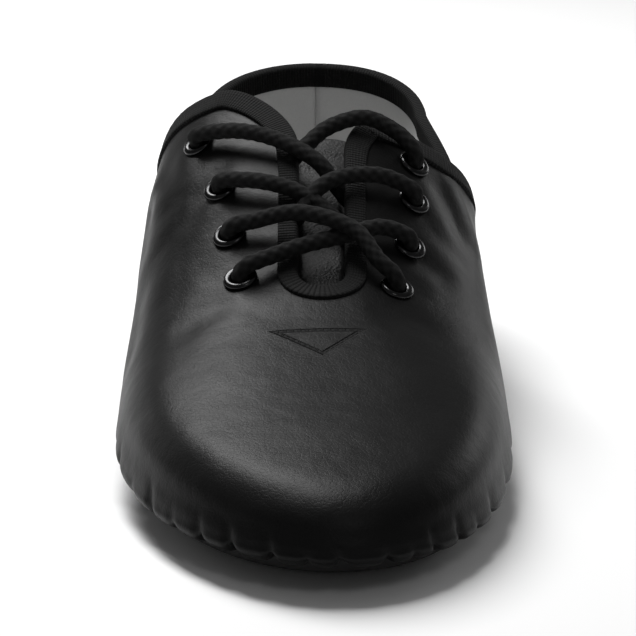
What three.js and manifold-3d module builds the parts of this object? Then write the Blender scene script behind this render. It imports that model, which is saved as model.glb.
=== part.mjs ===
// A right jazz oxford in soft leather: split sole, bound collar and throat,
// eight metal eyelets and a round cord laced across the tongue.
// Millimetres, +Z up, toe towards -Y, inner side of the foot towards +X.
// The origin is on the floor under the middle of the heel.
import * as THREE from "three";
import { mergeVertices } from "three/addons/utils/BufferGeometryUtils.js";
import Module from "manifold-3d";

const wasm = await Module();
wasm.setup();

// Driving dimensions
const shoeLength = 252;
const ballWidth = 93;
const instepHeight = 75;
const heelCollarHeight = 66;
const heelRadius = 31;
const upperWall = 1.6;
const fitGap = 0.3;
const bindingThickness = 0.8;
const bindingWidth = 5.5;
const throatHalfGap = 6.5;
const throatEnd = 0.635 * shoeLength;
const tabHeightShare = 0.88;
const tabRiseStart = 0.3;
const tabRiseEnd = 0.4;
const throatTopShare = 0.34;
const flareStartShare = 0.46;
const flareLengthShare = 0.07;
const flareSpread = 9;
const tongueThickness = 2.4;
const tongueHalfWidth = 25;
const tongueSag = 11;
const tongueSagRounding = 1.5;
const tongueTopShare = 0.375;
const tongueFlatShare = 0.56;
const tongueRootShare = 0.69;
const tongueRootNarrowing = 0.12;
const insoleThickness = 2.5;
const forepadThickness = 2.8;
const heelPadThickness = 9.7;
const padEdgeRise = 2;
const heelPadEdgeRise = 3;
const insoleEdgeRise = 1.6;
const seatEdgeRise = 0.8;
const laceDiameter = 4;
const eyeletFlangeRadius = 4.2;
const eyeletHoleRadius = 2.5;
const eyeletBarrelWall = 0.5;
const eyeletFlangeThickness = 0.9;
const eyeletFlangeClearance = fitGap + 0.15;
const heelPadFrontShare = 0.275;
const forepadBackShare = 0.57;
const padSeatShare = 0.03;

// A flat zone pressed into the soft underside of the pads, so that they stand on the floor
const pressedFlat = 0.3;
const heelBackRounding = 2.1;
const toeShare = 0.68;
const toeInnerRounding = 2.15;
const toeOuterRounding = 1.85;
const toeShift = 2;

function table(columns, rows) {
  return rows.map((row) => Object.fromEntries(columns.map((name, i) => [name, row[i]])));
}

// Plan outline at the widest level, as shares of the ball width from the shoe's centre line
const plan = table(["share", "inner", "outer", "spine"], [
  [0.123, 0.330, 0.335, 0.000],
  [0.220, 0.385, 0.400, 0.010],
  [0.320, 0.420, 0.440, 0.015],
  [0.420, 0.430, 0.460, 0.015],
  [0.520, 0.455, 0.475, 0.015],
  [0.600, 0.480, 0.495, 0.015],
  [0.680, 0.490, 0.502, 0.015],
]);

// Side view: top and widest level as shares of the instep height, and the underside's
// level as a share of the way from the ball's seat up to the heel's seat
const profile = table(["share", "top", "widest", "lift"], [
  [0.00, 1.310, 0.373, 1.00],
  [0.12, 1.310, 0.400, 1.00],
  [0.20, 1.290, 0.467, 1.00],
  [0.26, 1.250, 0.520, 1.06],
  [0.31, 1.190, 0.573, 1.35],
  [0.36, 1.080, 0.613, 1.55],
  [0.40, 1.000, 0.613, 1.45],
  [0.44, 0.933, 0.560, 1.10],
  [0.48, 0.867, 0.480, 0.75],
  [0.54, 0.753, 0.360, 0.28],
  [0.60, 0.640, 0.253, 0.06],
  [0.64, 0.580, 0.213, 0.00],
  [0.70, 0.513, 0.173, 0.00],
  [0.80, 0.433, 0.147, 0.00],
  [0.90, 0.385, 0.140, 0.00],
  [1.00, 0.345, 0.145, 0.08],
]);

// How boxy each section is: the exponents of its rounded quarters
const boxiness = table(["share", "innerAcross", "innerUp", "outerAcross", "outerUp", "lowAcross", "lowDown"], [
  [0.00, 2.8, 2.2, 2.8, 2.2, 5.5, 4.2],
  [0.20, 2.6, 2.1, 2.8, 2.2, 5.0, 3.4],
  [0.32, 2.0, 1.7, 2.7, 1.9, 3.2, 2.1],
  [0.42, 1.8, 1.5, 2.6, 1.6, 3.0, 1.9],
  [0.52, 1.8, 1.5, 2.3, 1.7, 3.0, 2.0],
  [0.60, 1.9, 1.6, 2.2, 1.8, 3.2, 2.2],
  [0.72, 2.4, 2.0, 2.5, 2.0, 3.6, 2.4],
  [0.85, 3.0, 2.4, 3.0, 2.4, 3.6, 2.4],
  [1.00, 3.4, 2.6, 3.4, 2.6, 3.2, 2.2],
]);

// The collar's edge, as shares of its height at the back of the heel, which gives way to a
// share of the instep's height where the tabs rise
const collar = table(["share", "inner", "outer"], [
  [0.00, 1.000, 1.000],
  [0.05, 0.950, 0.950],
  [0.12, 0.865, 0.880],
  [0.18, 0.795, 0.830],
  [0.25, 0.705, 0.800],
  [0.29, 0.667, 0.820],
  [0.32, 0.660, 0.920],
  [0.34, 0.685, 1.040],
  [0.36, 0.750, 1.140],
  [0.38, 0.850, 1.250],
  [0.40, 0.950, 1.380],
  [0.42, 1.140, 1.670],
  [1.00, 3.000, 3.000],
]);

// Eyelets from the top of the throat down: share of the length, and distance from the
// shoe's centre line as a share of the ball width
const eyeletPlaces = table(["row", "side", "share", "across"], [
  [1, -1, 0.414, 0.312],
  [2, -1, 0.491, 0.250],
  [3, -1, 0.552, 0.222],
  [4, -1, 0.610, 0.191],
  [1, 1, 0.441, 0.258],
  [2, 1, 0.492, 0.254],
  [3, 1, 0.554, 0.239],
  [4, 1, 0.618, 0.203],
]);

// The cord's bars: points as share of the length, millimetres across from the centre line
// and millimetres of the cord's axis over the leather's curve
const cordBars = {
  lace_cross_low: [
    [[0.566, -19.5, 3.8], [0.556, -14.5, 3.7], [0.562, -3.6, 6.6], [0.580, 7.6, 7.0], [0.606, 13.5, 4.6], [0.620, 18.0, 3.9]],
    [[0.612, -16.8, 3.8], [0.606, -12.6, 3.6], [0.592, -3.6, 3.4], [0.578, 6.0, 3.4], [0.560, 14.0, 3.6], [0.564, 20.6, 3.8]],
  ],
  lace_cross_middle: [
    [[0.496, 21.8, 3.8], [0.496, 14.4, 3.7], [0.508, 6.4, 3.6], [0.520, 0.5, 3.2]],
    [[0.496, -21.6, 3.8], [0.510, -13.0, 3.7], [0.522, -5.0, 3.4], [0.524, 2.0, 2.4]],
  ],
  lace_cross_top: [
    [[0.420, -27.2, 3.8], [0.440, -18.0, 3.7], [0.458, -8.0, 3.5], [0.466, 1.5, 2.2]],
    [[0.438, 22.8, 3.9], [0.430, 16.0, 3.8], [0.436, 8.5, 3.4], [0.458, 0.5, 0.2]],
  ],
};

const ballSeat = forepadThickness + fitGap;
const heelSeat = heelPadThickness + fitGap;
const bindingReach = fitGap + bindingThickness;

// A smooth curve through one column of a table
function readTable(rows, share, column) {
  const last = rows.length - 1;
  if (share <= rows[0].share) return rows[0][column];
  if (share >= rows[last].share) return rows[last][column];
  const i = rows.findIndex((row) => row.share > share) - 1;
  const slope = (k) => {
    const before = rows[Math.max(k - 1, 0)];
    const after = rows[Math.min(k + 1, last)];
    return (after[column] - before[column]) / (after.share - before.share);
  };
  const span = rows[i + 1].share - rows[i].share;
  const u = (share - rows[i].share) / span;
  const start = rows[i][column] * (2 * u ** 3 - 3 * u ** 2 + 1);
  const end = rows[i + 1][column] * (3 * u ** 2 - 2 * u ** 3);
  const bend = slope(i) * span * (u ** 3 - 2 * u ** 2 + u) + slope(i + 1) * span * (u ** 3 - u ** 2);
  return start + end + bend;
}

const sideName = (side) => (side > 0 ? "inner" : "outer");
const spineAt = (share) => readTable(plan, share, "spine") * ballWidth;
const outlineAt = (side, share) => side * readTable(plan, share, sideName(side)) * ballWidth;
const power = (value, exponent) => Math.max(value, 0) ** exponent;

// Heights of a section: its top, its widest level and its underside
function levelsAt(share) {
  return {
    top: readTable(profile, share, "top") * instepHeight,
    widest: readTable(profile, share, "widest") * instepHeight,
    under: ballSeat + (heelSeat - ballSeat) * readTable(profile, share, "lift"),
  };
}

function roundingAt(side, share, low) {
  const across = low ? "lowAcross" : `${sideName(side)}Across`;
  const along = low ? "lowDown" : `${sideName(side)}Up`;
  return [readTable(boxiness, share, across), readTable(boxiness, share, along)];
}

// Where a section starts on the spine and where it ends on the plan outline.
// Stations 0 to 1 fan round the heel, 1 to 2 run along the shoe, 2 to 3 fan round the toe.
function sectionAt(side, station) {
  if (station <= 1) {
    const turn = station * Math.PI / 2;
    const share = heelRadius / shoeLength;
    const anchorX = spineAt(share);
    return {
      anchorX,
      anchorT: heelRadius,
      outX: anchorX + (outlineAt(side, share) - anchorX) * power(Math.sin(turn), 2 / heelBackRounding),
      outT: heelRadius * (1 - power(Math.cos(turn), 2 / heelBackRounding)),
      share,
    };
  }
  const toeT = toeShare * shoeLength;
  if (station <= 2) {
    const t = heelRadius + (toeT - heelRadius) * (station - 1);
    const share = t / shoeLength;
    return { anchorX: spineAt(share), anchorT: t, outX: outlineAt(side, share), outT: t, share };
  }
  const turn = (station - 2) * Math.PI / 2;
  const rounding = side > 0 ? toeInnerRounding : toeOuterRounding;
  const anchorX = spineAt(toeShare);
  const reach = (outlineAt(side, toeShare) - anchorX) * power(Math.cos(turn), 2 / rounding);
  return {
    anchorX,
    anchorT: toeT,
    outX: anchorX + reach + toeShift * Math.sin(turn) ** 2,
    outT: toeT + (shoeLength - toeT) * power(Math.sin(turn), 2 / rounding),
    share: toeShare + (1 - toeShare) * Math.sin(turn),
  };
}

function collarAt(side, share) {
  const rise = Math.min(Math.max((share - tabRiseStart) / (tabRiseEnd - tabRiseStart), 0), 1);
  const height = heelCollarHeight + (tabHeightShare * instepHeight - heelCollarHeight) * rise;
  return readTable(collar, share, sideName(side)) * height;
}

const stationOf = (share) => 1 + (share * shoeLength - heelRadius) / (toeShare * shoeLength - heelRadius);

// The leather's outer face: angle 90 is the ridge, 0 the widest level, -90 the underside's middle
function facePoint(side, station, angle) {
  const section = sectionAt(side, station);
  const [acrossPower, heightPower] = roundingAt(side, section.share, angle < 0);
  const turn = Math.abs(angle) * Math.PI / 180;
  const across = Math.abs(angle) === 90 ? 0 : power(Math.cos(turn), 2 / acrossPower);
  const height = power(Math.sin(turn), 2 / heightPower);
  const t = section.anchorT + (section.outT - section.anchorT) * across;
  const { top, widest, under } = levelsAt(t / shoeLength);
  const z = angle < 0 ? widest - (widest - under) * height : widest + (top - widest) * height;
  return new THREE.Vector3(section.anchorX + (section.outX - section.anchorX) * across, heelRadius - t, z);
}

// The angle at which a section lies that far from the spine, as a share of its reach
function angleAcross(side, station, across, low) {
  const [acrossPower] = roundingAt(side, sectionAt(side, station).share, low);
  const angle = Math.acos(power(Math.min(across, 1), acrossPower / 2)) * 180 / Math.PI;
  return low ? -angle : angle;
}

// Steps of the face along the station and along the angle, and its outward normal
function faceFrame(side, station, angle) {
  const step = 0.002;
  const turn = 0.25;
  const s0 = Math.max(station - step, 0);
  const s1 = Math.min(station + step, 3);
  const a0 = Math.max(angle - turn, -90);
  const a1 = Math.min(angle + turn, 90);
  const along = facePoint(side, s1, angle).sub(facePoint(side, s0, angle)).divideScalar(s1 - s0);
  const up = facePoint(side, station, a1).sub(facePoint(side, station, a0)).divideScalar(a1 - a0);
  const normal = up.clone().cross(along).multiplyScalar(side).normalize();
  return { along, up, normal };
}

// A place given by share of the length and millimetres from the centre line
function placeOnTop(share, x) {
  const side = x >= spineAt(share) ? 1 : -1;
  const station = stationOf(share);
  const { anchorX, outX } = sectionAt(side, station);
  const angle = angleAcross(side, station, (x - anchorX) / (outX - anchorX), false);
  return { point: facePoint(side, station, angle), ...faceFrame(side, station, Math.min(angle, 89)) };
}

// Half the width of the throat's opening: round at its end, flaring into the tabs' corners
function throatAt(t) {
  if (t < throatTopShare * shoeLength || t > throatEnd) return 0;
  const fromEnd = Math.min((throatEnd - t) / throatHalfGap, 1);
  const flare = Math.max((flareStartShare - t / shoeLength) / flareLengthShare, 0);
  return throatHalfGap * Math.sqrt(1 - (1 - fromEnd) ** 2) + flareSpread * flare ** 2;
}

// The highest angle that the leather reaches on a section
function topAngle(side, station) {
  const inside = (angle) => {
    const point = facePoint(side, station, angle);
    const t = heelRadius - point.y;
    const gap = Math.abs(point.x - spineAt(t / shoeLength));
    return point.z <= collarAt(side, t / shoeLength) && gap >= throatAt(t);
  };
  if (inside(90)) return 90;
  let low = 0;
  let high = 90;
  for (let i = 0; i < 30; i += 1) {
    const middle = (low + high) / 2;
    if (inside(middle)) low = middle;
    else high = middle;
  }
  return low;
}

// Stations of the leather's sections, closer together round the throat's end
function stationList() {
  const heelSteps = 6;
  const alongSteps = 21;
  const toeSteps = 8;
  const endTurns = [0, 30, 60, 90];
  const endStations = endTurns.map((turn) => {
    const back = throatHalfGap * (1 - Math.cos(turn * Math.PI / 180));
    return stationOf((throatEnd - back) / shoeLength);
  });
  const near = 0.6 / alongSteps;
  const list = [];
  for (let i = 0; i < heelSteps; i += 1) list.push(i / heelSteps);
  for (let i = 0; i < alongSteps; i += 1) {
    const station = 1 + i / alongSteps;
    if (endStations.every((end) => Math.abs(end - station) > near)) list.push(station);
  }
  list.push(...endStations);
  for (let i = 0; i <= toeSteps; i += 1) list.push(2 + i / toeSteps);
  return list.sort((a, b) => a - b);
}

// An open sheet of triangles whose equal corners are shared
class Sheet {
  constructor() {
    this.points = [];
    this.faces = [];
    this.keys = new Map();
  }

  add(point) {
    const key = point.toArray().map((value) => Math.round(value * 1e4)).join(" ");
    if (!this.keys.has(key)) {
      this.keys.set(key, this.points.length);
      this.points.push(point);
    }
    return this.keys.get(key);
  }

  face(a, b, c) {
    if (a !== b && b !== c && c !== a) this.faces.push([a, b, c]);
  }

  grid(rows, flip) {
    const index = rows.map((row) => row.map((point) => this.add(point)));
    for (let i = 0; i + 1 < rows.length; i += 1) {
      for (let j = 0; j + 1 < rows[i].length; j += 1) {
        const corners = [index[i][j], index[i][j + 1], index[i + 1][j + 1], index[i + 1][j]];
        if (flip) corners.reverse();
        this.face(corners[0], corners[1], corners[2]);
        this.face(corners[0], corners[2], corners[3]);
      }
    }
  }

  normals() {
    const sums = this.points.map(() => new THREE.Vector3());
    for (const face of this.faces) {
      const [a, b, c] = face.map((i) => this.points[i]);
      const normal = b.clone().sub(a).cross(c.clone().sub(a));
      for (const i of face) sums[i].add(normal);
    }
    return sums.map((sum) => sum.normalize());
  }

  // One closed solid between this sheet and a second set of points for the same corners
  closeTo(others, starts = this.points) {
    const count = this.points.length;
    const triangles = [];
    const edges = new Map();
    for (const [a, b, c] of this.faces) {
      triangles.push([a, b, c], [count + c, count + b, count + a]);
      for (const [from, to] of [[a, b], [b, c], [c, a]]) edges.set(`${from} ${to}`, [from, to]);
    }
    for (const [from, to] of edges.values()) {
      if (!edges.has(`${to} ${from}`)) {
        triangles.push([from, count + from, to], [to, count + from, count + to]);
      }
    }
    return solidGeometry([...starts, ...others], triangles);
  }

  // A wall below the sheet, grown on both faces by a clearance
  thicken(wall, growth = 0) {
    const normals = this.normals();
    const moved = (distance) => this.points.map((point, i) => point.clone().addScaledVector(normals[i], distance));
    return this.closeTo(moved(-wall - growth), moved(growth));
  }
}

function solidGeometry(points, triangles) {
  const volume = triangles.reduce((sum, [a, b, c]) => {
    return sum + points[a].dot(points[b].clone().cross(points[c]));
  }, 0);
  const turned = volume < 0 ? triangles.map(([a, b, c]) => [c, b, a]) : triangles;
  const geometry = new THREE.BufferGeometry();
  const positions = new Float32Array(points.flatMap((point) => point.toArray()));
  geometry.setAttribute("position", new THREE.BufferAttribute(positions, 3));
  geometry.setIndex(turned.flat());
  return geometry;
}

function toManifold(geometry) {
  const bare = geometry.clone();
  bare.deleteAttribute("normal");
  bare.deleteAttribute("uv");
  const merged = mergeVertices(bare, 1e-5);
  const vertProperties = new Float32Array(merged.getAttribute("position").array);
  return new wasm.Manifold(new wasm.Mesh({
    numProp: 3,
    vertProperties,
    triVerts: new Uint32Array(merged.getIndex().array),
  }));
}

function fromManifold(solid) {
  const mesh = solid.getMesh();
  const geometry = new THREE.BufferGeometry();
  geometry.setAttribute("position", new THREE.BufferAttribute(new Float32Array(mesh.vertProperties), 3));
  geometry.setIndex(Array.from(mesh.triVerts));
  return geometry;
}

const stations = stationList();

// Rows of points over the underside, from the spine out to where the leather has turned
// up by a given rise
function undersideSheet(from, to, rise, raise) {
  const steps = 4;
  const sheet = new Sheet();
  const count = Math.ceil((to - from) * 9);
  for (const side of [1, -1]) {
    const rows = [];
    for (let i = 0; i <= count; i += 1) {
      const station = from + (to - from) * i / count;
      const { share } = sectionAt(side, station);
      const { widest, under } = levelsAt(share);
      const [acrossPower, downPower] = roundingAt(side, share, true);
      const reach = (1 - (1 - rise / (widest - under)) ** downPower) ** (1 / acrossPower);
      const points = [];
      for (let j = 0; j <= steps; j += 1) {
        const angle = angleAcross(side, station, reach * j / steps, true);
        const point = facePoint(side, station, angle);
        points.push(point.setZ(point.z + raise));
      }
      rows.push(points);
    }
    sheet.grid(rows, side < 0);
  }
  return sheet;
}

const grownLeather = toManifold(leatherSheet(fitGap).thicken(upperWall, fitGap));

function slab(sheet, levelOf) {
  return sheet.closeTo(sheet.points.map((point) => new THREE.Vector3(point.x, point.y, levelOf(point))));
}

function heelPad() {
  return slab(undersideSheet(0, stationOf(heelPadFrontShare), heelPadEdgeRise, -2 * fitGap), () => 0);
}

function forepad() {
  const sheet = undersideSheet(stationOf(forepadBackShare), 3, padEdgeRise, -fitGap);
  const lower = (point) => Math.max(0, point.z - forepadThickness - pressedFlat);
  return slab(sheet, lower);
}

// The holes in the leather's underside that the two pads close
function undersideHole(from, to) {
  const sheet = undersideSheet(from, to, seatEdgeRise, -heelSeat);
  return toManifold(slab(sheet, (point) => point.z + heelSeat + 2 * upperWall));
}

function insole() {
  const sheet = undersideSheet(0, 3, insoleEdgeRise, upperWall + 4 * fitGap);
  return slab(sheet, (point) => point.z + insoleThickness);
}

// The leather's whole face, with its free edge carried on past the cut by a clearance
function leatherSheet(growth) {
  const lowSteps = 6;
  const highSteps = 6;
  const edges = new Map(edgeFrames().map((frame) => [`${frame.side} ${frame.station}`, frame]));
  const sheet = new Sheet();
  for (const side of [1, -1]) {
    const rows = stations.map((station) => {
      const top = topAngle(side, station);
      const angles = [];
      for (let j = lowSteps; j > 0; j -= 1) angles.push(-90 * j / lowSteps);
      for (let j = 0; j <= highSteps; j += 1) angles.push(top * j / highSteps);
      const points = angles.map((angle) => facePoint(side, station, angle));
      const edge = edges.get(`${side} ${station}`) ?? edges.get(`${-side} ${station}`);
      if (edge) points.at(-1).addScaledVector(edge.inward, -growth);
      return points;
    });
    sheet.grid(rows, side < 0);
  }
  return sheet;
}

// Cuts a piece back until it lies a clearance away from the leather
function clearOfLeather(geometry) {
  return fromManifold(toManifold(geometry).subtract(grownLeather));
}

function upper() {
  let solid = toManifold(leatherSheet(0).thicken(upperWall));
  solid = solid.subtract(undersideHole(0, stationOf(heelPadFrontShare - padSeatShare)));
  solid = solid.subtract(undersideHole(stationOf(forepadBackShare + padSeatShare), 3));
  for (const place of eyeletPlaces) {
    const hole = new THREE.CylinderGeometry(eyeletHoleRadius, eyeletHoleRadius, 5 * upperWall, 10);
    solid = solid.subtract(toManifold(hole.applyMatrix4(eyeletMatrix(place))));
  }
  return fromManifold(solid);
}

function eyeletMatrix({ side, share, across }) {
  const { point, normal } = placeOnTop(share, side * across * ballWidth);
  const turn = new THREE.Quaternion().setFromUnitVectors(new THREE.Vector3(0, 1, 0), normal);
  return new THREE.Matrix4().compose(point, turn, new THREE.Vector3(1, 1, 1));
}

// A rolled metal ring with its barrel through the leather
function eyelet() {
  const bore = eyeletHoleRadius - fitGap - eyeletBarrelWall;
  const crest = eyeletFlangeClearance + eyeletFlangeThickness;
  const profilePoints = [
    [bore, -upperWall],
    [eyeletHoleRadius - fitGap, -upperWall],
    [eyeletHoleRadius - fitGap, eyeletFlangeClearance],
    [eyeletFlangeRadius, eyeletFlangeClearance],
    [(eyeletFlangeRadius + bore) / 2, crest],
    [bore, eyeletFlangeClearance],
    [bore, -upperWall],
  ];
  const ring = new THREE.LatheGeometry(profilePoints.map(([x, y]) => new THREE.Vector2(x, y)), 10);
  return fromManifold(toManifold(ring));
}

// The leather's free edge as a closed loop of face places, heel, inner side, throat and
// outer side, each with the direction in which the leather lies
function edgeFrames() {
  const sideEdge = (side) => stations
    .map((station) => ({ side, station, angle: topAngle(side, station) }))
    .filter(({ angle }) => angle < 90);
  const end = { side: 1, station: stationOf(throatEnd / shoeLength), angle: 90 };
  const loop = [...sideEdge(1), end, ...sideEdge(-1).slice(1).reverse()];
  const points = loop.map((spot) => facePoint(spot.side, spot.station, spot.angle));
  const count = loop.length;
  return loop.map((spot, i) => {
    const tangent = points[(i + 1) % count].clone().sub(points[(i + count - 1) % count]).normalize();
    const { normal } = faceFrame(spot.side, spot.station, Math.min(spot.angle, 89.5));
    return { ...spot, inward: normal.cross(tangent).normalize() };
  });
}

// Moves a place over the leather's face in a direction, in short steps
function walk(place, direction, distance) {
  const steps = 3;
  let { side, station, angle } = place;
  for (let i = 0; i < steps; i += 1) {
    const { along, up } = faceFrame(side, station, angle);
    const aa = along.dot(along);
    const au = along.dot(up);
    const uu = up.dot(up);
    const da = direction.dot(along);
    const du = direction.dot(up);
    const scale = distance / steps / (aa * uu - au * au);
    station = Math.min(Math.max(station + scale * (da * uu - du * au), 0), 3);
    angle = Math.min(angle + scale * (du * aa - da * au), 90);
  }
  return { side, station, angle };
}

function lifted({ side, station, angle }, height) {
  const { normal } = faceFrame(side, station, Math.min(angle, 89.5));
  return facePoint(side, station, angle).addScaledVector(normal, height);
}

// The folded tape: a bead carried round the leather's free edge, less the leather itself
function binding() {
  const rings = edgeFrames().map((frame) => {
    const middle = walk(frame, frame.inward, bindingWidth / 2);
    const far = walk(frame, frame.inward, bindingWidth);
    const edge = (height, beyond) => lifted(frame, height).addScaledVector(frame.inward, -beyond);
    const outside = bindingReach;
    const inside = -upperWall - bindingReach;
    return [
      lifted(far, outside), lifted(middle, outside), edge(outside, fitGap), edge(fitGap, bindingReach),
      edge(-upperWall - fitGap, bindingReach), edge(inside, fitGap), lifted(middle, inside), lifted(far, inside),
    ];
  });
  const sectionSize = rings[0].length;
  const triangles = [];
  rings.forEach((ring, i) => {
    const next = (i + 1) % rings.length;
    for (let j = 0; j < sectionSize; j += 1) {
      const k = (j + 1) % sectionSize;
      const a = i * sectionSize + j;
      const b = i * sectionSize + k;
      const c = next * sectionSize + k;
      const d = next * sectionSize + j;
      triangles.push([a, b, c], [a, c, d]);
    }
  });
  return clearOfLeather(solidGeometry(rings.flat(), triangles));
}

// The tongue hangs under the throat and sinks into the empty shoe towards its free end
function tongue() {
  const rowSteps = 12;
  const acrossSteps = 10;
  const clearance = upperWall + bindingReach + fitGap;
  const surface = (depth) => {
    const rows = [];
    for (let i = 0; i <= rowSteps; i += 1) {
      const share = tongueTopShare + (tongueRootShare - tongueTopShare) * i / rowSteps;
      const free = Math.max((tongueFlatShare - share) / (tongueFlatShare - tongueTopShare), 0);
      const width = tongueHalfWidth * (1 - tongueRootNarrowing * (1 - free));
      const row = [];
      for (let j = 0; j <= acrossSteps; j += 1) {
        const x = spineAt(share) + width * (2 * j / acrossSteps - 1);
        const { point, normal } = placeOnTop(share, x);
        point.addScaledVector(normal, -clearance - depth);
        row.push(point.setZ(point.z - tongueSag * free ** tongueSagRounding));
      }
      rows.push(row);
    }
    return rows;
  };
  const sheet = new Sheet();
  sheet.grid(surface(0), false);
  return clearOfLeather(sheet.closeTo(surface(tongueThickness).flat()));
}

function cordBar(places) {
  const route = places.map(([share, x, height]) => {
    const { point, normal } = placeOnTop(share, x);
    return point.addScaledVector(normal, height);
  });
  const section = new THREE.Shape();
  section.absarc(0, 0, laceDiameter / 2, 0, 2 * Math.PI);
  const bar = new THREE.ExtrudeGeometry(section, {
    steps: 10,
    curveSegments: 4,
    bevelEnabled: false,
    extrudePath: new THREE.CatmullRomCurve3(route, false, "centripetal"),
  });
  return toManifold(bar);
}

const leather = new THREE.MeshStandardMaterial({ name: "leather", color: 0x0c0c0c, roughness: 0.42 });
const tape = new THREE.MeshStandardMaterial({ name: "binding", color: 0x0a0a0a, roughness: 0.85 });
const tongueLeather = new THREE.MeshStandardMaterial({ name: "tongue", color: 0x121212, roughness: 0.6 });
const lining = new THREE.MeshStandardMaterial({ name: "lining", color: 0x9b9b98, roughness: 0.9 });
const rubber = new THREE.MeshStandardMaterial({ name: "sole", color: 0x0d0d0d, roughness: 0.8 });
const cord = new THREE.MeshStandardMaterial({ name: "lace", color: 0x070707, roughness: 0.9 });
const metal = new THREE.MeshStandardMaterial({ name: "eyelet", color: 0x2c2c2e, roughness: 0.25, metalness: 1 });

const shoe = new THREE.Group();

function place(name, geometry, material) {
  const mesh = new THREE.Mesh(geometry, material);
  mesh.name = name;
  shoe.add(mesh);
  return mesh;
}

place("upper", upper(), leather);
place("collar_binding", binding(), tape);
place("tongue", tongue(), tongueLeather);
place("insole", insole(), lining);
place("outsole_forefoot", forepad(), rubber);
place("outsole_heel", heelPad(), rubber);

for (const [name, [firstBar, secondBar]] of Object.entries(cordBars)) {
  place(name, fromManifold(cordBar(firstBar).add(cordBar(secondBar))), cord);
}

for (const spot of eyeletPlaces) {
  const mesh = place(`eyelet_${sideName(spot.side)}_${spot.row}`, eyelet(), metal);
  eyeletMatrix(spot).decompose(mesh.position, mesh.quaternion, mesh.scale);
}

export default shoe;
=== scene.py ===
from bisect import bisect_right
from functools import lru_cache
from math import acos, cos, degrees, exp, hypot, pi, radians, sin, sqrt

import bmesh
import bpy
from mathutils import Matrix, Vector


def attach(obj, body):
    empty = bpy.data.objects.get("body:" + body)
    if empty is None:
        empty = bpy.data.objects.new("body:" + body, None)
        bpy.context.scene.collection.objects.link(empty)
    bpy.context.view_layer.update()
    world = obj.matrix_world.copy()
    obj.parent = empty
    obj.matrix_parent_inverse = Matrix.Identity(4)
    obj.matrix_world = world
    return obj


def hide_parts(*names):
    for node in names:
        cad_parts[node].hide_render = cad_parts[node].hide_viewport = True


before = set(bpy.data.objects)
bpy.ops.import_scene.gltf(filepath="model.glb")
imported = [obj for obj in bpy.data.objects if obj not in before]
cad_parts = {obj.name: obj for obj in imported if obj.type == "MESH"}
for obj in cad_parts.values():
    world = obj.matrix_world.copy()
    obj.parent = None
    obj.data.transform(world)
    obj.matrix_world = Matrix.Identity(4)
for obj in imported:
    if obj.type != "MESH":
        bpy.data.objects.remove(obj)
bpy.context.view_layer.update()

bl_info = {
    "name": "Jazz shoe",
    "version": (1, 0, 0),
    "blender": (4, 5, 0),
    "location": "View3D > Sidebar > Jazz shoe",
    "description": "A right lace-up jazz shoe in soft black leather, dressed over its packed model",
    "category": "Add Mesh",
}

MM = 0.001

# The shoe's own sizes in millimetres, as in its construction
SHOE_LENGTH = 252.0
BALL_WIDTH = 93.0
INSTEP_HEIGHT = 75.0
HEEL_COLLAR_HEIGHT = 66.0
HEEL_RADIUS = 31.0
UPPER_WALL = 1.6
FIT_GAP = 0.3
BINDING_WIDTH = 5.5
THROAT_HALF_GAP = 6.5
THROAT_END = 0.635 * SHOE_LENGTH
THROAT_TOP = 0.34 * SHOE_LENGTH
FLARE_START = 0.46 * SHOE_LENGTH
FLARE_LENGTH = 0.07 * SHOE_LENGTH
FLARE_SPREAD = 9.0
TONGUE_HALF_WIDTH = 25.0
TONGUE_SAG = 11.0
TONGUE_SAG_ROUNDING = 1.5
TONGUE_TOP_SHARE = 0.375
TONGUE_FLAT_SHARE = 0.56
TONGUE_ROOT_SHARE = 0.69
TONGUE_ROOT_NARROWING = 0.12
FOREPAD_THICKNESS = 2.8
HEEL_PAD_THICKNESS = 9.7
INSOLE_THICKNESS = 2.5
HEEL_BACK_ROUNDING = 2.1
TOE_SHARE = 0.68
TOE_INNER_ROUNDING = 2.15
TOE_OUTER_ROUNDING = 1.85
TOE_SHIFT = 2.0
FOREPAD_BACK_SHARE = 0.57
HEEL_PAD_FRONT_SHARE = 0.275
EYELET_HOLE = 2.5
LACE_RADIUS = 2.0

# Sizes that only the looks need
HEEL_SMOOTH_FROM = -14.0
HEEL_SMOOTHING = 14
TAPE_NARROWING = 0.26
TAPE_SUNK = 0.3
RIBS_A_MM = 1.15
YARNS_ACROSS = 30
TONGUE_THICKNESS = 1.8
TONGUE_PRESSED = 3.6
INSOLE_CLEARANCE = 4 * FIT_GAP
RING_BORE = 2.15
RING_OUTER = 4.15
LACE_STEP = 0.5
BRAID_PITCH = 3.0
BRAID_STRANDS = 5
BRAID_RELIEF = 0.11

BALL_SEAT = FOREPAD_THICKNESS + FIT_GAP
HEEL_SEAT = HEEL_PAD_THICKNESS + FIT_GAP


class Table:
    """Rows of named columns, read as smooth curves over the share of the length."""

    def __init__(self, columns, rows):
        self.shares = [row[0] for row in rows]
        self.columns = {name: [row[i + 1] for row in rows] for i, name in enumerate(columns)}

    def slope(self, values, k):
        before, after = max(k - 1, 0), min(k + 1, len(values) - 1)
        return (values[after] - values[before]) / (self.shares[after] - self.shares[before])

    def read(self, share, column):
        values = self.columns[column]
        if share <= self.shares[0]:
            return values[0]
        if share >= self.shares[-1]:
            return values[-1]
        i = bisect_right(self.shares, share) - 1
        span = self.shares[i + 1] - self.shares[i]
        u = (share - self.shares[i]) / span
        ends = values[i] * (2 * u**3 - 3 * u**2 + 1) + values[i + 1] * (3 * u**2 - 2 * u**3)
        leave, reach = self.slope(values, i) * span, self.slope(values, i + 1) * span
        return ends + leave * (u**3 - 2 * u**2 + u) + reach * (u**3 - u**2)


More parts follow.
